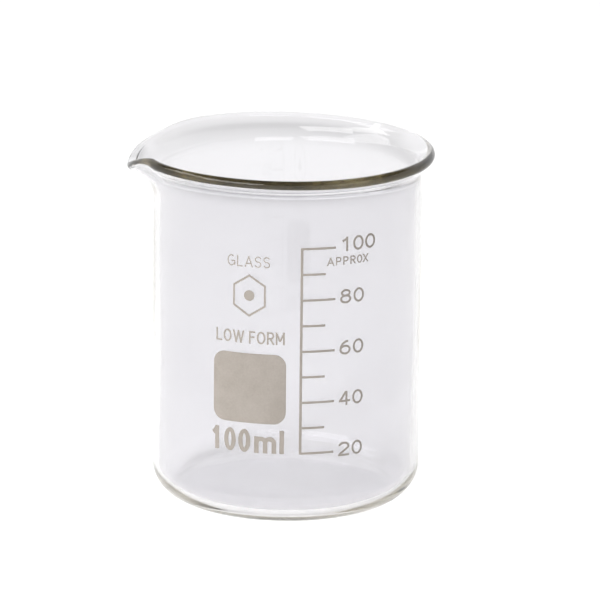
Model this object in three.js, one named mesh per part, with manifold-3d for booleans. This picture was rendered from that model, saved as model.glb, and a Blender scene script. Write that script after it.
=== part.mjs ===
// Low-form laboratory beaker, 100 ml, in clear borosilicate glass, with its fired-on enamel print.
//
// Frame: millimetres, +Z up, origin at the centre of the flat underside. The print faces -Y and the
// pouring spout points to -X. The vessel is blown and moulded as one piece of glass: its floor, wall,
// flared rim, thickened bead and spout are one body. Every mark of the print is its own small film of
// enamel, a fraction of a millimetre thick, bonded to the outside of the wall.

import * as THREE from 'three';
import { mergeVertices } from 'three/addons/utils/BufferGeometryUtils.js';
import Module from 'manifold-3d';

// ---------------------------------------------------------------- driving dimensions, mm

// Glass vessel
const OUTER_R = 26.2;         // outside radius of the wall
const WALL = 1.2;             // wall thickness
const INNER_R = OUTER_R - WALL;
const HEEL_R = 6.0;           // width of the rounded outer heel
const HEEL_H = 5.85;          // height of the rounded outer heel
const HEEL_CUT = 0.15;        // the flat underside cuts the heel's curve this far above its lowest point
const FLOOR_Z = 1.6;          // top of the floor where it meets the inner corner
const FLOOR_RISE = 0.3;       // how far the middle of the floor stands above that
const CORNER_R = 4.8;         // inner corner, width
const CORNER_H = 4.4;         // inner corner, height
const FLARE_Z = 60.0;         // where the rim zone starts
const BEAD_R = 1.02;          // radius of the lip's rounded edge
const BEAD_C = [28.4, 68.55]; // centre of the rounded edge, radius and height
const LIP_RISE = 40;          // slope at which the lip leans out, degrees above level
const LIP_BEND = 5.0;         // outside radius of the bend from the wall into the lip
const RIM_SHIFT = -0.9;       // the hand-finished rim is centred this far along X, towards the spout
const RIM_TILT = -0.011;      // and its plane falls by this much per millimetre along X
const GLASS_SEGMENTS = 80;

// Pouring spout: the rim section at the spout's middle, and how it fades into the round rim
const SPOUT_AZ = -88;         // azimuth of the spout, degrees from -Y towards +X
const SPOUT_BEAD_R = 0.95;
const SPOUT_BEAD_C = [29.45, 65.45];
const SPOUT_HALF = 25;        // half-width of the spout at the rim, degrees, on its near side
const SPOUT_SOFT = 3.5;         // roundness of its tip, degrees
const SPOUT_POWER = 1.4;      // how the near shoulder runs out into the rim
const FAR_HALF = 30;          // the far side runs out more gently
const FAR_POWER = 1.8;
const PINCH = 0.35;           // its near shoulder is drawn in by this much
const PINCH_AT = 21;          // degrees from the spout
const PINCH_WIDTH = 9;
const SAG = 1.4;              // its far shoulder droops by this much
const SAG_AT = -26;
const SAG_WIDTH = 17;

// Enamel print
const ENAMEL_GAP = 0.05;      // clearance between the film and the facets of the wall
const ENAMEL_T = 0.10;        // film thickness
const ARC_STEP = 2.45;        // longest facet of a film along the wall's curve

// Graduation ladder: positions along the wall (arc length from -Y, towards +X) and heights
const LADDER_S = 2.85;
const LADDER_LINE = 0.5;
const TICK = 0.45;
const LEVEL_20 = 15.05;       // height of the 20 ml line
const LEVEL_STEP = 5.075;     // rise per 10 ml
const LONG_TICK_END = 9.45;
const SHORT_TICK_END = 7.5;

const NUMERAL_H = 2.85;
const NUMERAL_STROKE = 0.42;
const NUMERAL_DROP = 1.09;    // the numerals' foot lies this far under its line

// Plain emblem
const EMBLEM_S = -7.25;
const EMBLEM_Z = 46.2;
const EMBLEM_R = 3.75;
const EMBLEM_LINE = 0.42;

// Marking patch, a blank field to write on
const PATCH = { s0: -14.55, s1: 0.03, z0: 20.85, z1: 34.75, r: 2.4 };

// Colours
const GLASS_COLOUR = 0xe4e8ec;
const ENAMEL_COLOUR = 0xbbb1a3;

const wasm = await Module();
wasm.setup();

// ---------------------------------------------------------------- helpers

const rad = (d) => (d * Math.PI) / 180;

// A plain indexed geometry that holds positions only, with shared vertices merged.
function bare(geometry, tolerance = 1e-5) {
  const g = geometry.clone();
  for (const name of Object.keys(g.attributes)) if (name !== 'position') g.deleteAttribute(name);
  const merged = mergeVertices(g, tolerance);
  const from = merged.index.array;
  const index = [];
  for (let i = 0; i < from.length; i += 3) {
    const [a, b, c] = [from[i], from[i + 1], from[i + 2]];
    if (a !== b && b !== c && c !== a) index.push(a, b, c);
  }
  merged.setIndex(index);
  return merged;
}

function toSolid(geometry) {
  const g = bare(geometry);
  return new wasm.Manifold(new wasm.Mesh({
    numProp: 3,
    vertProperties: new Float32Array(g.attributes.position.array),
    triVerts: new Uint32Array(g.index.array),
  }));
}

function fromSolid(solid) {
  const m = solid.getMesh();
  const g = new THREE.BufferGeometry();
  g.setAttribute('position', new THREE.BufferAttribute(new Float32Array(m.vertProperties), 3));
  g.setIndex(Array.from(m.triVerts));
  return g;
}

function join(geometries) {
  let all = toSolid(geometries[0]);
  for (const g of geometries.slice(1)) all = all.add(toSolid(g));
  return fromSolid(all);
}

// Splits every edge that runs further than `step` along x, so that the piece can follow a curve.
// Neighbouring faces share each new point, so the body stays closed.
function refineAlongX(geometry, step) {
  const p = Array.from(geometry.attributes.position.array);
  let tris = Array.from(geometry.index.array);
  for (let changed = true; changed; ) {
    changed = false;
    const middle = new Map();
    const mid = (a, b) => {
      if (Math.abs(p[3 * a] - p[3 * b]) <= step) return -1;
      const key = a < b ? `${a}_${b}` : `${b}_${a}`;
      if (!middle.has(key)) {
        middle.set(key, p.length / 3);
        for (let k = 0; k < 3; k++) p.push((p[3 * a + k] + p[3 * b + k]) / 2);
      }
      return middle.get(key);
    };
    const next = [];
    for (let i = 0; i < tris.length; i += 3) {
      let [a, b, c] = [tris[i], tris[i + 1], tris[i + 2]];
      let [ab, bc, ca] = [mid(a, b), mid(b, c), mid(c, a)];
      const cut = (ab >= 0) + (bc >= 0) + (ca >= 0);
      if (cut) changed = true;
      if (cut === 0) next.push(a, b, c);
      else if (cut === 3) next.push(a, ab, ca, ab, b, bc, ca, bc, c, ab, bc, ca);
      else if (cut === 1) {
        while (ab < 0) [a, b, c, ab, bc, ca] = [b, c, a, bc, ca, ab];
        next.push(a, ab, c, ab, b, c);
      } else {
        while (ca >= 0) [a, b, c, ab, bc, ca] = [b, c, a, bc, ca, ab];
        next.push(ab, b, bc, a, ab, bc, a, bc, c);
      }
    }
    tris = next;
  }
  const g = new THREE.BufferGeometry();
  g.setAttribute('position', new THREE.BufferAttribute(new Float32Array(p), 3));
  g.setIndex(tris);
  return g;
}

// Bends a flat film (x along the wall, y up, z outwards) round the outside of the vessel.
function wrap(geometry) {
  const g = refineAlongX(geometry, ARC_STEP);
  const p = g.attributes.position;
  for (let i = 0; i < p.count; i++) {
    const a = p.getX(i) / OUTER_R;
    const r = OUTER_R + ENAMEL_GAP + p.getZ(i);
    p.setXYZ(i, r * Math.sin(a), -r * Math.cos(a), p.getY(i));
  }
  g.computeVertexNormals();
  return g;
}

// ---------------------------------------------------------------- glass vessel

function arc(c, rx, rz, from, to, n) {
  const out = [];
  for (let i = 0; i <= n; i++) {
    const a = rad(from + ((to - from) * i) / n);
    out.push([c[0] + rx * Math.cos(a), c[1] + rz * Math.sin(a)]);
  }
  return out;
}

function curve(a, b, c, d, n) {
  const bez = new THREE.CubicBezierCurve(...[a, b, c, d].map((q) => new THREE.Vector2(...q)));
  return bez.getPoints(n).map((q) => [q.x, q.y]);
}

// The rim in section, from the outside of the wall over its rounded edge to the inside. The lip bends
// out of the wall, runs on straight for a little, and ends in a half-round edge.
const EDGE_STEPS = [0, 25, 50, 72.5, 95, 117.5, 140, 160, 180];
function lipSection(c, br, rise, bend) {
  const t = rad(rise);
  const [u, v] = [[Math.cos(t), Math.sin(t)], [-Math.sin(t), Math.cos(t)]];
  const run = (c[0] - (bend + br) * v[0] - bend - OUTER_R) / u[0];
  const hub = [0, 1].map((k) => c[k] - (bend + br) * v[k] - run * u[k]);
  const edge = EDGE_STEPS.map((q) => arc(c, br, br, q + rise - 90, 0, 1)[0]);
  const outer = [];
  const inner = [];
  for (let i = 0; i <= 3; i++) {
    const k = i / 3;
    const thick = WALL + (2 * br - WALL) * k * k * (3 - 2 * k);
    const a = 180 - (90 - rise) * k;
    outer.push(arc(hub, bend, bend, a, 0, 1)[0]);
    inner.unshift(arc(hub, bend + thick, bend + thick, a, 0, 1)[0]);
  }
  return [[OUTER_R, FLARE_Z], ...outer, ...edge, ...inner, [INNER_R, FLARE_Z]];
}
function spoutSection(c, br, outA, outB, inA, inB) {
  const edge = EDGE_STEPS.map((q) => arc(c, br, br, (q / 180) * 240 - 120, 0, 1)[0]);
  const outside = curve([OUTER_R, FLARE_Z], outA, outB, edge[0], 5);
  const inside = curve(edge[edge.length - 1], inA, inB, [INNER_R, FLARE_Z], 5);
  return [...outside, ...edge.slice(1), ...inside.slice(1)];
}
const ROUND_RIM = lipSection(BEAD_C, BEAD_R, LIP_RISE, LIP_BEND);
const SPOUT_RIM = spoutSection(SPOUT_BEAD_C, SPOUT_BEAD_R, [OUTER_R, 62.2], [27.0, 62.9],
  [26.9, 64.9], [INNER_R, 63.4]);

// How much of the spout's section the rim has at `a` degrees from the spout's middle.
function spoutWeight(a) {
  const soft = (x) => Math.sqrt(x * x + SPOUT_SOFT * SPOUT_SOFT) - SPOUT_SOFT;
  const [half, power] = a > 0 ? [SPOUT_HALF, SPOUT_POWER] : [FAR_HALF, FAR_POWER];
  return Math.max(0, 1 - soft(a) / soft(half)) ** power;
}
const shoulderPinch = (a) => -PINCH * Math.exp(-(((a - PINCH_AT) / PINCH_WIDTH) ** 2));
const shoulderSag = (a) => -SAG * Math.exp(-(((a - SAG_AT) / SAG_WIDTH) ** 2));

function glassGeometry() {
  const foot = (Math.asin(HEEL_H / (HEEL_H + HEEL_CUT)) * 180) / Math.PI;
  const heel = arc([OUTER_R - HEEL_R, HEEL_H], HEEL_R, HEEL_H + HEEL_CUT, -foot, 0, 6);
  heel[0][1] = 0;
  const corner = arc([INNER_R - CORNER_R, FLOOR_Z + CORNER_H], CORNER_R, CORNER_H, 0, -90, 5);
  const below = [[0, 0], ...heel];
  const above = [...corner, [(INNER_R - CORNER_R) * 0.55, FLOOR_Z + FLOOR_RISE * 0.7], [0, FLOOR_Z + FLOOR_RISE]];
  const profile = [...below, ...ROUND_RIM, ...above].map((q) => new THREE.Vector2(...q));
  const g = new THREE.LatheGeometry(profile, GLASS_SEGMENTS);
  g.rotateX(Math.PI / 2);      // the lathe's axis becomes +Z, and its first section lies at -Y
  // Draw the rim out into the spout.
  const p = g.attributes.position;
  for (let i = 0; i <= GLASS_SEGMENTS; i++) {
    const az = (i / GLASS_SEGMENTS) * 360;
    const a = ((((az - SPOUT_AZ) % 360) + 540) % 360) - 180;
    const w = spoutWeight(a);
    for (let j = 0; j < ROUND_RIM.length; j++) {
      const k = i * profile.length + below.length + j;
      let r = ROUND_RIM[j][0] * (1 - w) + SPOUT_RIM[j][0] * w;
      const z = ROUND_RIM[j][1] * (1 - w) + SPOUT_RIM[j][1] * w;
      const u = Math.min(1, Math.max(0, (ROUND_RIM[j][1] - FLARE_Z) / 9));
      const ease = u * u * (3 - 2 * u);
      r += shoulderPinch(a) * ease;
      const x = r * Math.sin(rad(az));
      p.setXYZ(k, x + RIM_SHIFT * ease, -r * Math.cos(rad(az)), z + (RIM_TILT * x + shoulderSag(a)) * ease);
    }
  }
  const body = bare(g, 1e-4);
  body.computeVertexNormals();
  return body;
}

// ---------------------------------------------------------------- lettering

// Each character is a few pen strokes on a box that runs from 0 to 1 both ways.
//   R  ring: centre, radii               B  straight bar with square ends
//   H  bar with its ends cut flush       D  slanting bar with level ends
//   C  curve: points, and arcs as ['a', centre, radii, from, to in degrees]
const STROKES = {
  0: [['R', 0.5, 0.5, 0.5, 0.5]],
  1: [['B', 1, 0, 1, 1], ['C', [[0, 0.74], [0.55, 0.84], [1, 0.99]]]],
  2: [['C', [['a', 0.5, 0.72, 0.5, 0.28, 172, -28], [0.1, 0.12], [0.02, 0]]], ['B', 0, 0, 1, 0]],
  4: [['D', 0.6, 1, 0, 0.28], ['B', 0, 0.28, 1, 0.28], ['B', 0.72, 0, 0.72, 1]],
  6: [['R', 0.5, 0.31, 0.5, 0.31], ['C', [['a', 0.78, 0.31, 0.78, 0.69, 180, 86]]]],
  8: [['R', 0.5, 0.28, 0.5, 0.28], ['R', 0.5, 0.775, 0.42, 0.225]],
  A: [['D', 0, 0, 0.5, 1], ['D', 1, 0, 0.5, 1], ['H', 0.18, 0.3, 0.82, 0.3]],
  F: [['B', 0, 0, 0, 1], ['B', 0, 1, 1, 1], ['B', 0, 0.52, 0.85, 0.52]],
  G: [['C', [['a', 0.5, 0.5, 0.5, 0.5, 48, 338]]], ['B', 1, 0.1, 1, 0.46], ['B', 0.58, 0.46, 1, 0.46]],
  L: [['B', 0, 0, 0, 1], ['B', 0, 0, 1, 0]],
  M: [['B', 0, 0, 0, 1], ['B', 1, 0, 1, 1], ['D', 0, 1, 0.5, 0.22], ['D', 1, 1, 0.5, 0.22]],
  O: [['R', 0.5, 0.5, 0.5, 0.5]],
  P: [['B', 0, 0, 0, 1], ['C', [[0, 1], [0.55, 1], ['a', 0.55, 0.72, 0.45, 0.28, 90, -90], [0, 0.44]]]],
  R: [['B', 0, 0, 0, 1], ['C', [[0, 1], [0.55, 1], ['a', 0.55, 0.74, 0.45, 0.26, 90, -90], [0, 0.48]]],
    ['D', 0.45, 0.48, 1, 0]],
  S: [['C', [['a', 0.5, 0.755, 0.48, 0.245, 18, 262], ['a', 0.5, 0.255, 0.5, 0.255, 84, -162]]]],
  W: [['D', 0, 1, 0.25, 0], ['D', 0.5, 1, 0.25, 0], ['D', 0.5, 1, 0.75, 0], ['D', 1, 1, 0.75, 0]],
  X: [['D', 0, 0, 1, 1], ['D', 0, 1, 1, 0]],
  m: [['B', 0, 0, 0, 1], ['C', [[0, 0.68], ['a', 0.25, 0.68, 0.25, 0.32, 150, 0], [0.5, -0.18]]],
    ['C', [[0.5, 0.68], ['a', 0.75, 0.68, 0.25, 0.32, 150, 0], [1, -0.18]]]],
  l: [['B', 0, 0, 0, 1]],
};

function centreLine(items, arcStep = 30) {
  const out = [];
  for (const q of items) {
    if (q[0] !== 'a') { out.push(q); continue; }
    const [, cx, cy, rx, ry, from, to] = q;
    const n = Math.ceil(Math.abs(to - from) / arcStep);
    out.push(...arc([cx, cy], rx, ry, from, to, n));
  }
  return out.filter((q, i) => !i || Math.hypot(q[0] - out[i - 1][0], q[1] - out[i - 1][1]) > 1e-6);
}

function shapeOf(points, hole) {
  const shape = new THREE.Shape(points.map((q) => new THREE.Vector2(...q)));
  if (hole) shape.holes.push(new THREE.Path(hole.map((q) => new THREE.Vector2(...q))));
  return shape;
}

const slab = (shape) => new THREE.ExtrudeGeometry(shape, { depth: ENAMEL_T, bevelEnabled: false });

// Outline of a pen stroke of half-width h along an open centre line.
function strokeOutline(line, h) {
  const left = [], right = [];
  line.forEach((q, i) => {
    const a = line[Math.max(0, i - 1)], b = line[Math.min(line.length - 1, i + 1)];
    const d0 = new THREE.Vector2(q[0] - a[0], q[1] - a[1]);
    const d1 = new THREE.Vector2(b[0] - q[0], b[1] - q[1]);
    if (i === 0) d0.copy(d1);
    if (i === line.length - 1) d1.copy(d0);
    d0.normalize(); d1.normalize();
    const t = d0.clone().add(d1).normalize();
    const stretch = Math.min(1.6, 1 / Math.max(0.3, t.dot(d0)));
    const n = [-t.y * h * stretch, t.x * h * stretch];
    left.push([q[0] + n[0], q[1] + n[1]]);
    right.unshift([q[0] - n[0], q[1] - n[1]]);
  });
  return [...left, ...right];
}

// One character as a flat film of width w and height h, drawn with a pen of width `pen`,
// centred on its own origin.
function glyph(char, w, h, pen, ringSides = 18) {
  const k = pen / 2;
  const X = (x) => -w / 2 + k + x * (w - pen);
  const Y = (y) => -h / 2 + k + y * (h - pen);
  const slabs = STROKES[char].map(([kind, ...v]) => {
    if (kind === 'R') {
      const c = [X(v[0]), Y(v[1])];
      const [rx, ry] = [v[2] * (w - pen), v[3] * (h - pen)];
      const ring = (d) => arc(c, rx + d, ry + d, 0, 360, ringSides).slice(0, -1);
      return slab(shapeOf(ring(k), ring(-k)));
    }
    if (kind === 'C') {
      const line = centreLine(v[0]).map(([x, y]) => [X(x), Y(y)]);
      return slab(shapeOf(strokeOutline(line, k)));
    }
    const [x0, y0, x1, y1] = [X(v[0]), Y(v[1]), X(v[2]), Y(v[3])];
    if (kind === 'D') {
      const up = y1 > y0 ? 1 : -1;
      const hw = (k * Math.hypot(x1 - x0, y1 - y0)) / Math.abs(y1 - y0);
      const e0 = v[1] === 0 || v[1] === 1 ? k : 0, e1 = v[3] === 0 || v[3] === 1 ? k : 0;
      const f = (x1 - x0) / (y1 - y0);
      const a = [x0 - f * up * e0, y0 - up * e0], b = [x1 + f * up * e1, y1 + up * e1];
      return slab(shapeOf([[a[0] - hw, a[1]], [a[0] + hw, a[1]], [b[0] + hw, b[1]], [b[0] - hw, b[1]]]));
    }
    const d = new THREE.Vector2(x1 - x0, y1 - y0).normalize();
    const e = kind === 'B' ? k : 0;
    const a = [x0 - d.x * e, y0 - d.y * e], b = [x1 + d.x * e, y1 + d.y * e];
    return slab(shapeOf(strokeOutline([a, b], k)));
  });
  return join(slabs);
}

// ---------------------------------------------------------------- the object

const beaker = new THREE.Group();
beaker.name = 'beaker';

const glass = new THREE.Mesh(glassGeometry(),
  new THREE.MeshStandardMaterial({ color: GLASS_COLOUR, roughness: 0.04, metalness: 0 }));
glass.name = 'glass_body';
beaker.add(glass);

const print = new THREE.Group();
print.name = 'print';
beaker.add(print);

// Adds one film: `flat` is centred on its own origin, and goes to arc position s and height z.
function addFilm(name, flat, s, z) {
  const film = new THREE.Mesh(wrap(flat),
    new THREE.MeshStandardMaterial({ color: ENAMEL_COLOUR, roughness: 0.55, metalness: 0 }));
  film.name = name;
  film.rotation.z = s / OUTER_R;
  film.position.z = z;
  print.add(film);
}

// A closed film made of the cells of a grid: `xs` and `zs` are the grid lines, and `filled(x, z)`
// says whether the cell with that middle belongs to the film.
function gridFilm(xs, zs, filled) {
  const points = [], index = [];
  const id = new Map();
  const at = (i, j, k) => {
    const key = `${i}_${j}_${k}`;
    if (!id.has(key)) { id.set(key, points.length / 3); points.push(xs[i], zs[j], k * ENAMEL_T); }
    return id.get(key);
  };
  const quad = (a, b, c, d) => index.push(a, b, c, a, c, d);
  const on = (i, j) => i >= 0 && j >= 0 && i < xs.length - 1 && j < zs.length - 1
    && filled((xs[i] + xs[i + 1]) / 2, (zs[j] + zs[j + 1]) / 2);
  for (let i = 0; i < xs.length - 1; i++) {
    for (let j = 0; j < zs.length - 1; j++) {
      if (!on(i, j)) continue;
      quad(at(i, j, 1), at(i + 1, j, 1), at(i + 1, j + 1, 1), at(i, j + 1, 1));
      quad(at(i, j, 0), at(i, j + 1, 0), at(i + 1, j + 1, 0), at(i + 1, j, 0));
      if (!on(i, j - 1)) quad(at(i, j, 0), at(i + 1, j, 0), at(i + 1, j, 1), at(i, j, 1));
      if (!on(i, j + 1)) quad(at(i, j + 1, 1), at(i + 1, j + 1, 1), at(i + 1, j + 1, 0), at(i, j + 1, 0));
      if (!on(i - 1, j)) quad(at(i, j, 1), at(i, j + 1, 1), at(i, j + 1, 0), at(i, j, 0));
      if (!on(i + 1, j)) quad(at(i + 1, j, 0), at(i + 1, j + 1, 0), at(i + 1, j + 1, 1), at(i + 1, j, 1));
    }
  }
  const g = new THREE.BufferGeometry();
  g.setAttribute('position', new THREE.BufferAttribute(new Float32Array(points), 3));
  g.setIndex(index);
  return g;
}

// Graduation ladder: one line with nine ticks, every 10 ml from 20 ml to 100 ml.
{
  const levels = [2, 3, 4, 5, 6, 7, 8, 9, 10].map((n) => LEVEL_20 + (n - 2) * LEVEL_STEP);
  const mid = (levels[0] + levels[8]) / 2;
  const h = LADDER_LINE / 2, short = SHORT_TICK_END - LADDER_S, long = LONG_TICK_END - LADDER_S;
  const xs = [-h, h, (h + short) / 2, short, long];
  const zs = levels.flatMap((z) => [z - TICK / 2 - mid, z + TICK / 2 - mid]);
  const filled = (x, z) => x < h || levels.some((level, i) =>
    Math.abs(z + mid - level) < TICK / 2 && x < (i % 2 ? short : long));
  addFilm('scale_ladder', gridFilm(xs, zs, filled), LADDER_S, mid);
}

// Marking patch: a panel with rounded corners, made of upright strips so that it follows the wall.
{
  const w = PATCH.s1 - PATCH.s0, h = PATCH.z1 - PATCH.z0, r = PATCH.r;
  const corner = [0, 15, 33, 52, 70, 90].map((a) => [r * (1 - Math.cos(rad(a))), r * (1 - Math.sin(rad(a)))]);
  const columns = [];            // [x, half-height]
  for (const [x, drop] of corner) columns.push([-w / 2 + x, h / 2 - drop]);
  for (let i = 1; i < 5; i++) columns.push([-w / 2 + r + ((w - 2 * r) * i) / 5, h / 2]);
  for (const [x, drop] of [...corner].reverse()) columns.push([w / 2 - x, h / 2 - drop]);
  const points = [], index = [];
  columns.forEach(([x, y]) => points.push(x, -y, 0, x, -y, ENAMEL_T, x, y, ENAMEL_T, x, y, 0));
  const quad = (a, b, c, d) => index.push(a, b, c, a, c, d);
  for (let i = 0; i < columns.length - 1; i++) {
    const [a, b] = [4 * i, 4 * i + 4];
    for (let k = 0; k < 4; k++) quad(a + k, b + k, b + ((k + 1) % 4), a + ((k + 1) % 4));
  }
  const e = 4 * (columns.length - 1);
  quad(0, 1, 2, 3);
  quad(e, e + 3, e + 2, e + 1);
  const g = new THREE.BufferGeometry();
  g.setAttribute('position', new THREE.BufferAttribute(new Float32Array(points), 3));
  g.setIndex(index);
  addFilm('marking_patch', g, (PATCH.s0 + PATCH.s1) / 2, (PATCH.z0 + PATCH.z1) / 2);
}

// A word: each character is [char, name, s0, s1], from arc position s0 to s1, with its own height.
function addWord(prefix, chars, z0, h, pen, ringSides) {
  chars.forEach(([char, s0, s1, hh = h, suffix = ''], i) => {
    addFilm(`${prefix}_${i + 1}_${char}${suffix}`, glyph(char, s1 - s0, hh, pen, ringSides), (s0 + s1) / 2, z0 + hh / 2);
  });
}

// Numerals of the scale
for (const n of [20, 40, 60, 80]) {
  const z = LEVEL_20 + ((n - 20) / 10) * LEVEL_STEP - NUMERAL_DROP;
  addWord(`numeral_${n}`, [[String(n)[0], 10.45, 12.8], ['0', 13.3, 15.65]], z, NUMERAL_H, NUMERAL_STROKE);
}
addWord('numeral_100', [['1', 10.6, 12.0], ['0', 13.08, 15.4], ['0', 15.77, 18.15]], 54.72, 2.88, NUMERAL_STROKE);

// The note on the accuracy of the scale
addWord('approx', [['A', 7.7, 9.15], ['P', 9.5, 10.6], ['P', 11.0, 12.1], ['R', 12.5, 13.65],
  ['O', 13.95, 15.15], ['X', 15.3, 16.5]], 52.1, 1.65, 0.26, 14);

// Nominal volume, in bold condensed figures
addWord('volume', [['1', -15.1, -13.3], ['0', -12.2, -9.75], ['0', -9.25, -6.8],
  ['m', -6.05, -1.75, 3.35], ['l', -1.15, -0.25]], 14.95, 4.65, 0.9);

// The form of the vessel
addWord('form', [['L', -14.05, -12.75], ['O', -12.47, -10.77], ['W', -10.49, -8.19], ['F', -7.24, -5.99],
  ['O', -5.71, -4.01], ['R', -3.73, -2.33], ['M', -2.05, -0.3]], 36.7, 2.5, 0.34, 16);

// The material, in thin capitals
addWord('material', [['G', -11.7, -10.1], ['L', -9.72, -8.57], ['A', -8.19, -6.59], ['S', -6.21, -4.91],
  ['S', -4.53, -3.23]], 51.8, 2.2, 0.22, 14);

// Plain emblem: an upright hexagon drawn as a line, with a dot in its middle
{
  const hexagon = (r) => arc([0, 0], r, r * 1.12, 90, 450, 6).slice(0, -1);
  const dot = arc([0, 0], 1.05, 1.05, 0, 360, 18).slice(0, -1);
  addFilm('emblem_hexagon', join([slab(shapeOf(hexagon(EMBLEM_R), hexagon(EMBLEM_R - EMBLEM_LINE)))]), EMBLEM_S, EMBLEM_Z);
  addFilm('emblem_dot', join([slab(shapeOf(dot))]), EMBLEM_S, EMBLEM_Z);
}

export default beaker;
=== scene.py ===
import math

import bpy
import numpy as np
from mathutils import Matrix, Vector
from mathutils.geometry import delaunay_2d_cdt


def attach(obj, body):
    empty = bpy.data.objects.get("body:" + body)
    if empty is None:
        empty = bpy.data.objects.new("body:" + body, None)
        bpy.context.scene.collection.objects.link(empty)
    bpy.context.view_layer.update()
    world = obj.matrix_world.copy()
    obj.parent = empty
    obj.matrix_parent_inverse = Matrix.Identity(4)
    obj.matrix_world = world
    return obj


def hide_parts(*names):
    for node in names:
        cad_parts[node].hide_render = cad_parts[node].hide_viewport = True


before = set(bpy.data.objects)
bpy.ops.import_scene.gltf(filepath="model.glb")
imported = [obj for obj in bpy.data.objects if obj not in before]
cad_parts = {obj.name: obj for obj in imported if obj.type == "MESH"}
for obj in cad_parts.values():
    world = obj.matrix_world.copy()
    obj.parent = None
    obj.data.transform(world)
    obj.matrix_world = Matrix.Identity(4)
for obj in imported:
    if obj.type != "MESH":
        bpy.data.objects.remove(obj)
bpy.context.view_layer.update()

MM = 0.001
scene = bpy.context.scene

# ------------------------------------------------------------------ dimensions, mm (the same as the CAD model's)

OUTER_R, WALL = 26.2, 1.2
INNER_R = OUTER_R - WALL
HEEL_R, HEEL_H, HEEL_CUT = 6.0, 5.85, 0.15   # the flat underside cuts the heel's curve this far up
FLOOR_Z, FLOOR_RISE = 1.6, 0.3
CORNER_R, CORNER_H = 4.8, 4.4
FLARE_Z = 60.0
BEAD_R, BEAD_C = 1.01, (28.4, 68.55)
LIP_RISE, LIP_BEND = 40.0, 5.0         # the lip leans out at this slope, after a bend of this radius
RIM_SHIFT, RIM_TILT = -0.9, -0.011     # the rim's centre along X, and its slope along X
SPOUT_AZ = -88.0
SPOUT_BEAD_R, SPOUT_BEAD_C = 0.90, (29.45, 65.45)
SPOUT_HALF, SPOUT_SOFT, SPOUT_POWER = 25.0, 3.5, 1.4
FAR_HALF, FAR_POWER = 30.0, 1.8         # the spout's far side runs out more gently
PINCH, PINCH_AT, PINCH_WIDTH = 0.35, 21.0, 9.0
SAG, SAG_AT, SAG_WIDTH = 1.4, -26.0, 17.0
TURNS = 400                    # facets round the glass


# ------------------------------------------------------------------ small helpers

def new_mesh(name, verts, faces, smooth=True):
    me = bpy.data.meshes.new(name)
    me.from_pydata([tuple(v) for v in verts], [], [tuple(int(i) for i in f) for f in faces])
    me.polygons.foreach_set("use_smooth", [smooth] * len(me.polygons))
    me.update()
    ob = bpy.data.objects.new(name, me)
    scene.collection.objects.link(ob)
    return ob


def material(name):
    m = bpy.data.materials.new(name)
    m.use_nodes = True
    nt = m.node_tree
    nt.nodes.clear()
    return m, nt


def node(nt, kind, **inputs):
    n = nt.nodes.new(kind)
    for k, v in inputs.items():
        if k in n.inputs.keys():
            n.inputs[k].default_value = v
        else:
            setattr(n, k, v)
    return n


# ------------------------------------------------------------------ camera, at the photograph's angle

ELEVATION, DISTANCE, FOCAL_PX = math.radians(15.7), 1.0, 5105.0
TARGET, TARGET_PX, ROLL = Vector((0, 0, 0.035)), (286.6, 316.7), math.radians(0.55)
back = Vector((0, -math.cos(ELEVATION), math.sin(ELEVATION)))
right = Vector((1, 0, 0))
up = right.cross(-back)
c, s = math.cos(ROLL), math.sin(ROLL)
right, up = right * c + up * s, up * c - right * s
ahead = (-back + right * ((300 - TARGET_PX[0]) / FOCAL_PX) + up * ((TARGET_PX[1] - 300) / FOCAL_PX)).normalized()
right = (right - ahead * right.dot(ahead)).normalized()
up = right.cross(ahead)
cam_data = bpy.data.cameras.new("camera")
cam_data.sensor_width = 36.0
cam_data.lens = FOCAL_PX / 600 * 36.0
cam_data.clip_start, cam_data.clip_end = 0.05, 20.0
camera = bpy.data.objects.new("camera", cam_data)
camera.matrix_world = Matrix.Translation(TARGET + back * DISTANCE) @ Matrix((right, up, -ahead)).transposed().to_4x4()
scene.collection.objects.link(camera)
scene.camera = camera


# ------------------------------------------------------------------ the glass

def arc(cx, cz, rx, rz, a0, a1, n):
    t = np.radians(np.linspace(a0, a1, n + 1))
    return np.c_[cx + rx * np.cos(t), cz + rz * np.sin(t)]


def bezier(p0, p1, p2, p3, n):
    t = np.linspace(0, 1, n + 1)[:, None]
    p0, p1, p2, p3 = map(np.array, (p0, p1, p2, p3))
    return (1 - t) ** 3 * p0 + 3 * (1 - t) ** 2 * t * p1 + 3 * (1 - t) * t * t * p2 + t ** 3 * p3


def lip_section(c, br, rise, bend):
    """The rim in section, from the outside of the wall over its rounded edge to the inside."""
    t = math.radians(rise)
    u, v, c = np.array((math.cos(t), math.sin(t))), np.array((-math.sin(t), math.cos(t))), np.array(c)
    run = (c[0] - (bend + br) * v[0] - bend - OUTER_R) / u[0]
    hub = c - (bend + br) * v - run * u
    a = np.radians(np.linspace(180, 90 + rise, 19))[:, None]
    k = np.linspace(0, 1, 19)[:, None]
    thick = WALL + (2 * br - WALL) * k * k * (3 - 2 * k)
    ray = np.hstack([np.cos(a), np.sin(a)])
    outer, inner = hub + bend * ray, (hub + (bend + thick) * ray)[::-1]
    edge = arc(c[0], c[1], br, br, rise - 90, rise + 90, 40)
    line = lambda p, q: np.array(p) + (np.array(q) - np.array(p)) * np.linspace(0, 1, 7)[:, None]
    return np.vstack([line((OUTER_R, FLARE_Z), outer[0]), outer[1:], line(outer[-1], edge[0])[1:], edge[1:],
                      line(edge[-1], inner[0])[1:], inner[1:], line(inner[-1], (INNER_R, FLARE_Z))[1:]])


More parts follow.
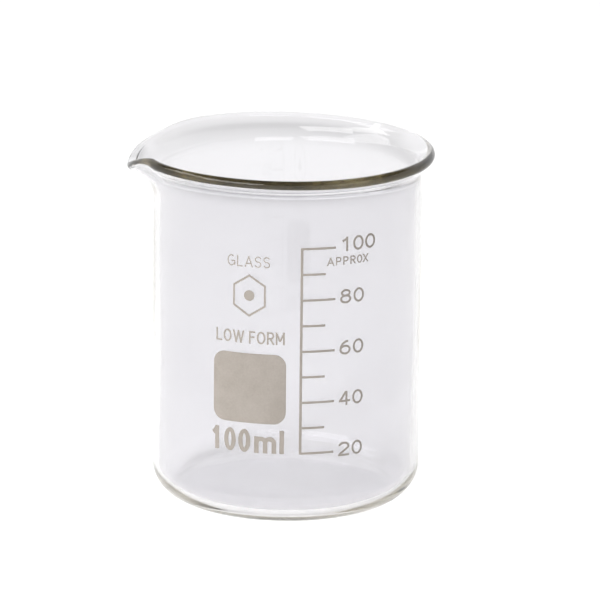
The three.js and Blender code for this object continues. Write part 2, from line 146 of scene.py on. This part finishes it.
def spout_section(c, br, out1, out2, in1, in2):
    edge = arc(c[0], c[1], br, br, -120, 120, 40)
    return np.vstack([bezier((OUTER_R, FLARE_Z), out1, out2, edge[0], 30), edge[1:],
                      bezier(edge[-1], in1, in2, (INNER_R, FLARE_Z), 30)[1:]])


ROUND_RIM = lip_section(BEAD_C, BEAD_R, LIP_RISE, LIP_BEND)
SPOUT_RIM = spout_section(SPOUT_BEAD_C, SPOUT_BEAD_R, (OUTER_R, 62.2), (27.0, 62.9), (26.9, 64.9), (INNER_R, 63.4))


def soft(x, k=SPOUT_SOFT):
    return np.sqrt(x * x + k * k) - k


def spout_weight(a):
    near = np.clip(1 - soft(a) / soft(SPOUT_HALF), 0, 1) ** SPOUT_POWER
    far = np.clip(1 - soft(a) / soft(FAR_HALF), 0, 1) ** FAR_POWER
    return np.where(a > 0, near, far)


def shoulder_pinch(a):
    return -PINCH * np.exp(-((a - PINCH_AT) / PINCH_WIDTH) ** 2)


def shoulder_sag(a):
    return -SAG * np.exp(-((a - SAG_AT) / SAG_WIDTH) ** 2)


def make_glass():
    floor_r = INNER_R - CORNER_R
    base = np.c_[np.linspace(0, 21.5, 9)[1:-1], np.zeros(7)]
    foot = math.degrees(math.asin(HEEL_H / (HEEL_H + HEEL_CUT)))
    heel = arc(OUTER_R - HEEL_R, HEEL_H, HEEL_R, HEEL_H + HEEL_CUT, -foot, 0, 30)
    wall_out = np.c_[np.full(40, OUTER_R), np.linspace(HEEL_H, FLARE_Z, 42)[1:-1]]
    wall_in = np.c_[np.full(40, INNER_R), np.linspace(FLARE_Z, FLOOR_Z + CORNER_H, 42)[1:-1]]
    corner = arc(floor_r, FLOOR_Z + CORNER_H, CORNER_R, CORNER_H, 0, -90, 26)
    fr = np.linspace(floor_r, 0, 22)[1:-1]
    floor = np.c_[fr, FLOOR_Z + FLOOR_RISE * (1 - (fr / floor_r) ** 2)]
    below = np.vstack([base, heel, wall_out])
    inner = np.vstack([wall_in, corner, floor])
    n0, n1 = len(below), len(ROUND_RIM)
    prof = np.vstack([below, ROUND_RIM, inner])
    m = len(prof)
    az = np.arange(TURNS) / TURNS * 360.0
    A = np.radians(az)[:, None]
    a = ((az - SPOUT_AZ + 180) % 360 - 180)[:, None]
    R = np.repeat(prof[None, :, 0], TURNS, 0)
    Z = np.repeat(prof[None, :, 1], TURNS, 0)
    # the rim zone is drawn out into the spout
    w = spout_weight(a)
    rim = slice(n0, n0 + n1)
    R[:, rim] = ROUND_RIM[None, :, 0] * (1 - w) + SPOUT_RIM[None, :, 0] * w
    Z[:, rim] = ROUND_RIM[None, :, 1] * (1 - w) + SPOUT_RIM[None, :, 1] * w
    u = np.clip((ROUND_RIM[None, :, 1] - FLARE_Z) / 9, 0, 1)
    R[:, rim] += shoulder_pinch(a) * u * u * (3 - 2 * u)
    # hand-worked glass: the inside of the wall wanders by a few hundredths of a millimetre, the floor
    # has a faint swirl, and the bead rises and sinks a little on its way round
    on_inside = np.zeros(m)
    on_inside[n0 + n1 - 20:] = 1
    on_inside[n0 + n1 - 20:n0 + n1] = np.linspace(0, 1, 20)
    near_axis = np.clip(prof[:, 0] / floor_r, 0, 1)
    ripple = (0.030 * np.sin(2 * A + 1.1 + 0.021 * Z) + 0.018 * np.sin(3 * A - 0.055 * Z + 0.4)
              + 0.010 * np.sin(7 * A + 0.11 * Z) + 0.006 * np.sin(13 * A - 0.16 * Z + 2.0))
    is_floor = (np.arange(m) >= n0 + n1 + len(wall_in) + len(corner)).astype(float)
    R += ripple * on_inside * (1 - is_floor)
    swirl = 0.05 * np.sin(A + 0.3 * R + 0.7) + 0.03 * np.sin(2 * A - 0.25 * R) + 0.02 * np.sin(3 * A + 0.5 * R)
    Z += swirl * is_floor * near_axis ** 2 * (1 - near_axis ** 6)
    lift = np.zeros(m)
    lift[n0:n0 + n1] = u[0] ** 3
    Z -= lift * (0.05 + 0.03 * np.sin(2 * A + 2.2) + 0.02 * np.sin(5 * A + 0.3))
    X, Y = R * np.sin(A), -R * np.cos(A)
    ease = np.zeros(m)
    ease[n0:n0 + n1] = (u * u * (3 - 2 * u))[0]
    Z += (RIM_TILT * X + shoulder_sag(a)) * ease
    X += RIM_SHIFT * ease
    grid = np.stack([X, Y, Z], -1).reshape(-1, 3) * MM
    verts = np.vstack([grid, [[0, 0, 0], [0, 0, (FLOOR_Z + FLOOR_RISE) * MM]]])
    i = np.arange(TURNS)[:, None]
    j = np.arange(m - 1)[None, :]
    i2 = (i + 1) % TURNS
    quads = np.stack([i * m + j, i2 * m + j, i2 * m + j + 1, i * m + j + 1], -1).reshape(-1, 4)
    lo, hi = TURNS * m, TURNS * m + 1
    k = np.arange(TURNS)
    k2 = (k + 1) % TURNS
    fans = [(lo, b * m, a_ * m) for a_, b in zip(k, k2)] + [(hi, a_ * m + m - 1, b * m + m - 1) for a_, b in zip(k, k2)]
    return new_mesh("glass_vessel", verts, list(quads) + fans)


glass = make_glass()
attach(glass, "root")
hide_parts("glass_body")

m, nt = material("borosilicate_glass")
out = node(nt, "ShaderNodeOutputMaterial")
tex = node(nt, "ShaderNodeTexCoord")
cloud = node(nt, "ShaderNodeTexNoise", Scale=45.0, Detail=2.0)
nt.links.new(tex.outputs["Object"], cloud.inputs["Vector"])
tint = node(nt, "ShaderNodeValToRGB")
tint.color_ramp.elements[0].position, tint.color_ramp.elements[0].color = 0.3, (0.812, 0.808, 0.832, 1)
tint.color_ramp.elements[1].position, tint.color_ramp.elements[1].color = 0.7, (0.828, 0.824, 0.846, 1)
nt.links.new(cloud.outputs["Fac"], tint.inputs["Fac"])
bsdf = node(nt, "ShaderNodeBsdfPrincipled", Roughness=0.0, IOR=1.473)
bsdf.inputs["Transmission Weight"].default_value = 1.0
nt.links.new(tint.outputs["Color"], bsdf.inputs["Base Color"])
path = node(nt, "ShaderNodeLightPath")
edge_on = node(nt, "ShaderNodeLayerWeight", Blend=0.35)
through = node(nt, "ShaderNodeValToRGB")
through.color_ramp.elements[0].position, through.color_ramp.elements[0].color = 0.36, (0.982, 0.982, 0.985, 1)
through.color_ramp.elements[1].position, through.color_ramp.elements[1].color = 1.0, (0.25, 0.25, 0.26, 1)
nt.links.new(edge_on.outputs["Facing"], through.inputs["Fac"])
clear = node(nt, "ShaderNodeBsdfTransparent")
nt.links.new(through.outputs["Color"], clear.inputs["Color"])
mix = node(nt, "ShaderNodeMixShader")
nt.links.new(path.outputs["Is Shadow Ray"], mix.inputs[0])
nt.links.new(bsdf.outputs[0], mix.inputs[1])
nt.links.new(clear.outputs[0], mix.inputs[2])
nt.links.new(mix.outputs[0], out.inputs["Surface"])
body = node(nt, "ShaderNodeVolumeAbsorption", Color=(0.43, 0.38, 0.21, 1), Density=20.0)
nt.links.new(body.outputs[0], out.inputs["Volume"])
glass.data.materials.append(m)


# ------------------------------------------------------------------ the enamel print

FILM_FOOT, FILM_TOP = 0.004, 0.045      # the film's under and upper face above the glass, mm
COLUMN = 0.3                           # the film follows the wall in facets this wide

# Each character is a few pen strokes on a box that runs from 0 to 1 both ways: R ring, B bar with
# square ends, H bar with flush ends, D slanting bar with level ends, C curve with arcs 'a'.
STROKES = {
    "0": [("R", 0.5, 0.5, 0.5, 0.5)],
    "1": [("B", 1, 0, 1, 1), ("C", (0, 0.74), (0.55, 0.84), (1, 0.99))],
    "2": [("C", ("a", 0.5, 0.72, 0.5, 0.28, 172, -28), (0.1, 0.12), (0.02, 0)), ("B", 0, 0, 1, 0)],
    "4": [("D", 0.6, 1, 0, 0.28), ("B", 0, 0.28, 1, 0.28), ("B", 0.72, 0, 0.72, 1)],
    "6": [("R", 0.5, 0.31, 0.5, 0.31), ("C", ("a", 0.78, 0.31, 0.78, 0.69, 180, 86))],
    "8": [("R", 0.5, 0.28, 0.5, 0.28), ("R", 0.5, 0.775, 0.42, 0.225)],
    "A": [("D", 0, 0, 0.5, 1), ("D", 1, 0, 0.5, 1), ("H", 0.18, 0.3, 0.82, 0.3)],
    "F": [("B", 0, 0, 0, 1), ("B", 0, 1, 1, 1), ("B", 0, 0.52, 0.85, 0.52)],
    "G": [("C", ("a", 0.5, 0.5, 0.5, 0.5, 48, 338)), ("B", 1, 0.1, 1, 0.46), ("B", 0.58, 0.46, 1, 0.46)],
    "L": [("B", 0, 0, 0, 1), ("B", 0, 0, 1, 0)],
    "M": [("B", 0, 0, 0, 1), ("B", 1, 0, 1, 1), ("D", 0, 1, 0.5, 0.22), ("D", 1, 1, 0.5, 0.22)],
    "O": [("R", 0.5, 0.5, 0.5, 0.5)],
    "P": [("B", 0, 0, 0, 1), ("C", (0, 1), (0.55, 1), ("a", 0.55, 0.72, 0.45, 0.28, 90, -90), (0, 0.44))],
    "R": [("B", 0, 0, 0, 1), ("C", (0, 1), (0.55, 1), ("a", 0.55, 0.74, 0.45, 0.26, 90, -90), (0, 0.48)),
          ("D", 0.45, 0.48, 1, 0)],
    "S": [("C", ("a", 0.5, 0.755, 0.48, 0.245, 18, 262), ("a", 0.5, 0.255, 0.5, 0.255, 84, -162))],
    "W": [("D", 0, 1, 0.25, 0), ("D", 0.5, 1, 0.25, 0), ("D", 0.5, 1, 0.75, 0), ("D", 1, 1, 0.75, 0)],
    "X": [("D", 0, 0, 1, 1), ("D", 0, 1, 1, 0)],
    "m": [("B", 0, 0, 0, 1), ("C", (0, 0.68), ("a", 0.25, 0.68, 0.25, 0.32, 150, 0), (0.5, -0.18)),
          ("C", (0.5, 0.68), ("a", 0.75, 0.68, 0.25, 0.32, 150, 0), (1, -0.18))],
    "l": [("B", 0, 0, 0, 1)],
}


def centre_line(items, step=7.0):
    pts = []
    for q in items:
        if q[0] == "a":
            _, cx, cy, rx, ry, a0, a1 = q
            pts += arc(cx, cy, rx, ry, a0, a1, math.ceil(abs(a1 - a0) / step)).tolist()
        else:
            pts.append([float(q[0]), float(q[1])])
    return [q for i, q in enumerate(pts) if i == 0 or math.dist(q, pts[i - 1]) > 1e-6]


def sides(line, h):
    """The two edges of a pen stroke of half-width h along a centre line."""
    p = np.array(line, float)
    d = np.diff(p, axis=0)
    d /= np.linalg.norm(d, axis=1)[:, None]
    d0, d1 = np.vstack([d[:1], d]), np.vstack([d, d[-1:]])
    t = d0 + d1
    t /= np.linalg.norm(t, axis=1)[:, None]
    k = np.minimum(1.6, 1 / np.maximum(0.3, (t * d0).sum(1)))[:, None]
    n = np.c_[-t[:, 1], t[:, 0]] * h * k
    return p + n, p - n


def strip(a, b, closed=False):
    """Quads between two edges with the same number of points."""
    n = len(a)
    return [[a[i], b[i], b[(i + 1) % n], a[(i + 1) % n]] for i in range(n if closed else n - 1)]


def glyph(char, w, h, pen, s0, z0):
    """One character as flat polygons, with its lower left corner at arc position s0 and height z0."""
    k = pen / 2
    X = lambda x: s0 + k + x * (w - pen)
    Y = lambda y: z0 + k + y * (h - pen)
    polys = []
    for kind, *v in STROKES[char]:
        if kind == "R":
            ring = lambda d: arc(X(v[0]), Y(v[1]), v[2] * (w - pen) + d, v[3] * (h - pen) + d, 0, 360, 48)[:-1]
            polys += strip(ring(k), ring(-k), closed=True)
        elif kind == "C":
            line = [(X(x), Y(y)) for x, y in centre_line(v)]
            polys += strip(*sides(line, k))
        else:
            x0, y0, x1, y1 = X(v[0]), Y(v[1]), X(v[2]), Y(v[3])
            if kind == "D":
                up_ = 1 if y1 > y0 else -1
                hw = k * math.hypot(x1 - x0, y1 - y0) / abs(y1 - y0)
                e0, e1 = (k if v[1] in (0, 1) else 0), (k if v[3] in (0, 1) else 0)
                f = (x1 - x0) / (y1 - y0)
                a, b = (x0 - f * up_ * e0, y0 - up_ * e0), (x1 + f * up_ * e1, y1 + up_ * e1)
                polys.append([(a[0] - hw, a[1]), (a[0] + hw, a[1]), (b[0] + hw, b[1]), (b[0] - hw, b[1])])
            else:
                d = np.array([x1 - x0, y1 - y0]) / math.hypot(x1 - x0, y1 - y0)
                e = k if kind == "B" else 0
                polys += strip(*sides([(x0 - d[0] * e, y0 - d[1] * e), (x1 + d[0] * e, y1 + d[1] * e)], k))
    return polys


def box_poly(s0, s1, z0, z1):
    return [(s0, z0), (s1, z0), (s1, z1), (s0, z1)]


def film(name, cad_node, polys, ragged=0.012):
    """The union of flat polygons as one film of enamel, bent round the wall, with slightly uneven edges."""
    verts, faces = [], []
    for p in polys:
        area = sum(p[i][0] * p[(i + 1) % len(p)][1] - p[(i + 1) % len(p)][0] * p[i][1] for i in range(len(p)))
        p = p if area > 0 else p[::-1]
        faces.append(list(range(len(verts), len(verts) + len(p))))
        verts += [Vector((float(x), float(y))) for x, y in p]
    xs, ys = [v.x for v in verts], [v.y for v in verts]
    edges = []
    for c_ in np.arange(math.floor(min(xs) / COLUMN), math.ceil(max(xs) / COLUMN) + 1) * COLUMN + 0.0137:
        if min(xs) < c_ < max(xs):
            edges.append((len(verts), len(verts) + 1))
            verts += [Vector((c_, min(ys) - 0.1)), Vector((c_, max(ys) + 0.1))]
    v2, _, f2, _, _, ids = delaunay_2d_cdt(verts, edges, faces, 0, 1e-6, True)
    tris = [tuple(f) for f, i in zip(f2, ids) if i]
    used = sorted({i for f in tris for i in f})
    at = {i: n for n, i in enumerate(used)}
    tris = [tuple(at[i] for i in f) for f in tris]
    flat = np.array([v2[i][:] for i in used])
    count = {}
    for f in tris:
        for q in range(3):
            e = (f[q], f[(q + 1) % 3])
            count[e] = count.get(e, 0) + 1
    rim = [e for e in count if (e[1], e[0]) not in count]
    edge_pts = sorted({i for e in rim for i in e})
    e_ = np.array(edge_pts)
    x, y = flat[e_, 0].copy(), flat[e_, 1].copy()
    flat[e_, 0] += ragged * np.sin(9.1 * y + 1.7 * x + 0.3) * np.cos(5.3 * x + 0.9)
    flat[e_, 1] += ragged * np.sin(8.3 * x - 2.1 * y + 1.1) * np.cos(6.1 * y + 0.4)
    n = len(flat)

    def bent(h):
        a = flat[:, 0] / OUTER_R
        r = OUTER_R + h
        return np.c_[r * np.sin(a), -r * np.cos(a), flat[:, 1]] * MM

    allv = np.vstack([bent(FILM_TOP), bent(FILM_FOOT)])
    fs = [f for f in tris] + [(f[2] + n, f[1] + n, f[0] + n) for f in tris]
    fs += [(b, a, a + n, b + n) for a, b in rim]
    ob = new_mesh(name, allv, fs, smooth=False)
    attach(ob, "root")
    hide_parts(cad_node)
    ob.data.materials.append(enamel)
    return ob


enamel, nt = material("fired_enamel")
out = node(nt, "ShaderNodeOutputMaterial")
bsdf = node(nt, "ShaderNodeBsdfPrincipled", IOR=1.5)
tex = node(nt, "ShaderNodeTexCoord")
grain = node(nt, "ShaderNodeTexNoise", Scale=2600.0, Detail=3.0, Roughness=0.6)
blot = node(nt, "ShaderNodeTexNoise", Scale=260.0, Detail=2.0)
for n_ in (grain, blot):
    nt.links.new(tex.outputs["Object"], n_.inputs["Vector"])
add = node(nt, "ShaderNodeMath", operation="ADD")
half = node(nt, "ShaderNodeMath", operation="MULTIPLY")
half.inputs[1].default_value = 0.5
nt.links.new(grain.outputs["Fac"], add.inputs[0])
nt.links.new(blot.outputs["Fac"], add.inputs[1])
nt.links.new(add.outputs[0], half.inputs[0])
ramp = node(nt, "ShaderNodeValToRGB")
ramp.color_ramp.elements[0].position, ramp.color_ramp.elements[0].color = 0.34, (0.151, 0.134, 0.116, 1)
ramp.color_ramp.elements[1].position, ramp.color_ramp.elements[1].color = 0.66, (0.191, 0.172, 0.153, 1)
nt.links.new(half.outputs[0], ramp.inputs["Fac"])
nt.links.new(ramp.outputs["Color"], bsdf.inputs["Base Color"])
gloss = node(nt, "ShaderNodeMapRange")
gloss.inputs["From Min"].default_value, gloss.inputs["From Max"].default_value = 0.3, 0.7
gloss.inputs["To Min"].default_value, gloss.inputs["To Max"].default_value = 0.42, 0.62
nt.links.new(grain.outputs["Fac"], gloss.inputs["Value"])
nt.links.new(gloss.outputs["Result"], bsdf.inputs["Roughness"])
bump = node(nt, "ShaderNodeBump", Strength=0.25, Distance=0.00002)
nt.links.new(grain.outputs["Fac"], bump.inputs["Height"])
nt.links.new(bump.outputs["Normal"], bsdf.inputs["Normal"])
nt.links.new(bsdf.outputs[0], out.inputs["Surface"])

# graduation ladder
LADDER_S, LADDER_LINE, TICK, LEVEL_20, LEVEL_STEP = 2.85, 0.5, 0.45, 15.05, 5.075
levels = [LEVEL_20 + i * LEVEL_STEP for i in range(9)]
polys = [box_poly(LADDER_S - LADDER_LINE / 2, LADDER_S + LADDER_LINE / 2, levels[0] - TICK / 2, levels[8] + TICK / 2)]
for i, z in enumerate(levels):
    polys.append(box_poly(LADDER_S, 7.5 if i % 2 else 9.45, z - TICK / 2, z + TICK / 2))
film("scale_ladder_film", "scale_ladder", polys)

# marking patch
s0, s1, z0, z1, r = -14.55, 0.03, 20.85, 34.75, 2.4
outline = np.vstack([arc(s1 - r, z1 - r, r, r, 0, 90, 14), arc(s0 + r, z1 - r, r, r, 90, 180, 14),
                     arc(s0 + r, z0 + r, r, r, 180, 270, 14), arc(s1 - r, z0 + r, r, r, 270, 360, 14)])
film("marking_patch_film", "marking_patch", [outline.tolist()])


def word(prefix, chars, z, h, pen):
    for i, (char, a, b, *hh) in enumerate(chars):
        hh = hh[0] if hh else h
        name = f"{prefix}_{i + 1}_{char}"
        film(name + "_film", name, glyph(char, b - a, hh, pen, a, z))


for n_ in (20, 40, 60, 80):
    word(f"numeral_{n_}", [(str(n_)[0], 10.45, 12.8), ("0", 13.3, 15.65)], LEVEL_20 + (n_ - 20) / 10 * LEVEL_STEP - 1.09, 2.85, 0.42)
word("numeral_100", [("1", 10.6, 12.0), ("0", 13.08, 15.4), ("0", 15.77, 18.15)], 54.72, 2.88, 0.42)
word("approx", [("A", 7.7, 9.15), ("P", 9.5, 10.6), ("P", 11.0, 12.1), ("R", 12.5, 13.65), ("O", 13.95, 15.15), ("X", 15.3, 16.5)], 52.1, 1.65, 0.26)
word("volume", [("1", -15.1, -13.3), ("0", -12.2, -9.75), ("0", -9.25, -6.8), ("m", -6.05, -1.75, 3.35), ("l", -1.15, -0.25)], 14.95, 4.65, 0.9)
word("form", [("L", -14.05, -12.75), ("O", -12.47, -10.77), ("W", -10.49, -8.19), ("F", -7.24, -5.99), ("O", -5.71, -4.01), ("R", -3.73, -2.33), ("M", -2.05, -0.3)], 36.7, 2.5, 0.34)
word("material", [("G", -11.7, -10.1), ("L", -9.72, -8.57), ("A", -8.19, -6.59), ("S", -6.21, -4.91), ("S", -4.53, -3.23)], 51.8, 2.2, 0.22)

EMBLEM_S, EMBLEM_Z, EMBLEM_R, EMBLEM_LINE = -7.25, 46.2, 3.75, 0.42
hexagon = lambda r_: arc(EMBLEM_S, EMBLEM_Z, r_, r_ * 1.12, 90, 450, 6)[:-1]
film("emblem_hexagon_film", "emblem_hexagon", strip(hexagon(EMBLEM_R), hexagon(EMBLEM_R - EMBLEM_LINE), closed=True))
film("emblem_dot_film", "emblem_dot", [arc(EMBLEM_S, EMBLEM_Z, 1.05, 1.05, 0, 360, 48)[:-1].tolist()])


# ------------------------------------------------------------------ stage and light

def sweep(name, radius, height, curve):
    """A round floor that curves up into a low wall, all in one sheet."""
    prof = [(0.02 + (radius - curve) * (i / 24) ** 1.5, 0.0) for i in range(25)]
    prof += [(radius - curve + curve * math.sin(t), curve - curve * math.cos(t)) for t in np.radians(np.linspace(6, 90, 15))]
    prof += [(radius, height)]
    turns = 96
    verts = [(0, 0, 0)] + [(r * math.sin(2 * math.pi * i / turns), -r * math.cos(2 * math.pi * i / turns), z)
                           for i in range(turns) for r, z in prof]
    n = len(prof)
    faces = [(0, 1 + i * n, 1 + ((i + 1) % turns) * n) for i in range(turns)]
    faces += [(1 + i * n + j, 1 + i * n + j + 1, 1 + ((i + 1) % turns) * n + j + 1, 1 + ((i + 1) % turns) * n + j)
              for i in range(turns) for j in range(n - 1)]
    return new_mesh(name, verts, faces)


floor = sweep("floor", 1.7, 0.30, 0.15)
floor.location.z = -0.00002
m, nt = material("pale_floor")
out = node(nt, "ShaderNodeOutputMaterial")
glow = node(nt, "ShaderNodeEmission", Color=(1, 1, 1, 1), Strength=0.60)
dull = node(nt, "ShaderNodeBsdfDiffuse", Color=(0.44, 0.44, 0.44, 1))
addsh = node(nt, "ShaderNodeAddShader")
nt.links.new(glow.outputs[0], addsh.inputs[0])
nt.links.new(dull.outputs[0], addsh.inputs[1])
nt.links.new(addsh.outputs[0], out.inputs["Surface"])
floor.data.materials.append(m)

world = bpy.data.worlds.new("studio")
scene.world = world
world.use_nodes = True
nt = world.node_tree
nt.nodes.clear()
out = node(nt, "ShaderNodeOutputWorld")
bg = node(nt, "ShaderNodeBackground", Strength=1.0)
tex = node(nt, "ShaderNodeTexCoord")
sep = node(nt, "ShaderNodeSeparateXYZ")
ramp = node(nt, "ShaderNodeValToRGB")
nt.links.new(tex.outputs["Generated"], sep.inputs[0])
nt.links.new(sep.outputs["Z"], ramp.inputs["Fac"])
nt.links.new(ramp.outputs["Color"], bg.inputs["Color"])
nt.links.new(bg.outputs[0], out.inputs["Surface"])
cr = ramp.color_ramp
cr.elements[0].position, cr.elements[0].color = 0.50, (0.92, 0.92, 0.94, 1)
cr.elements[1].position, cr.elements[1].color = 0.62, (0.070, 0.064, 0.045, 1)
e = cr.elements.new(1.0)
e.color = (0.045, 0.040, 0.028, 1)


def area(name, at, to, size, power, colour=(1, 1, 1)):
    d = bpy.data.lights.new(name, "AREA")
    d.shape = "RECTANGLE"
    d.size, d.size_y = size
    d.energy = power
    d.color = colour
    o = bpy.data.objects.new(name, d)
    o.location = at
    o.rotation_mode = "QUATERNION"
    o.rotation_quaternion = (Vector(to) - Vector(at)).to_track_quat("-Z", "Y")
    scene.collection.objects.link(o)
    return o


area("soft_left", (-0.66, -0.70, 0.80), (0, 0, 0.03), (0.95, 0.5), 7.5)
front = area("soft_front", (0.25, -1.2, 0.85), (0, 0, 0.03), (0.8, 0.5), 5.0)
front.visible_glossy = False
key = area("key_left", (-0.75, -0.95, 0.55), (0, 0, 0), (0.36, 0.36), 24.0)
key.visible_glossy = key.visible_transmission = key.visible_camera = False
strip = area("strip_left", (-1.0, 0.55, 0.28), (0, 0, 0.05), (0.25, 0.25), 2.0)
strip.visible_glossy = strip.visible_transmission = strip.visible_camera = False
area("top_left", (-0.85, 0.10, 0.95), (0, 0, 0.07), (0.9, 0.4), 5.0)

scene.view_settings.view_transform = "Standard"
scene.view_settings.look = "None"
scene.cycles.max_bounces = 96
scene.cycles.transmission_bounces = 96
scene.cycles.glossy_bounces = 96
scene.cycles.transparent_max_bounces = 16
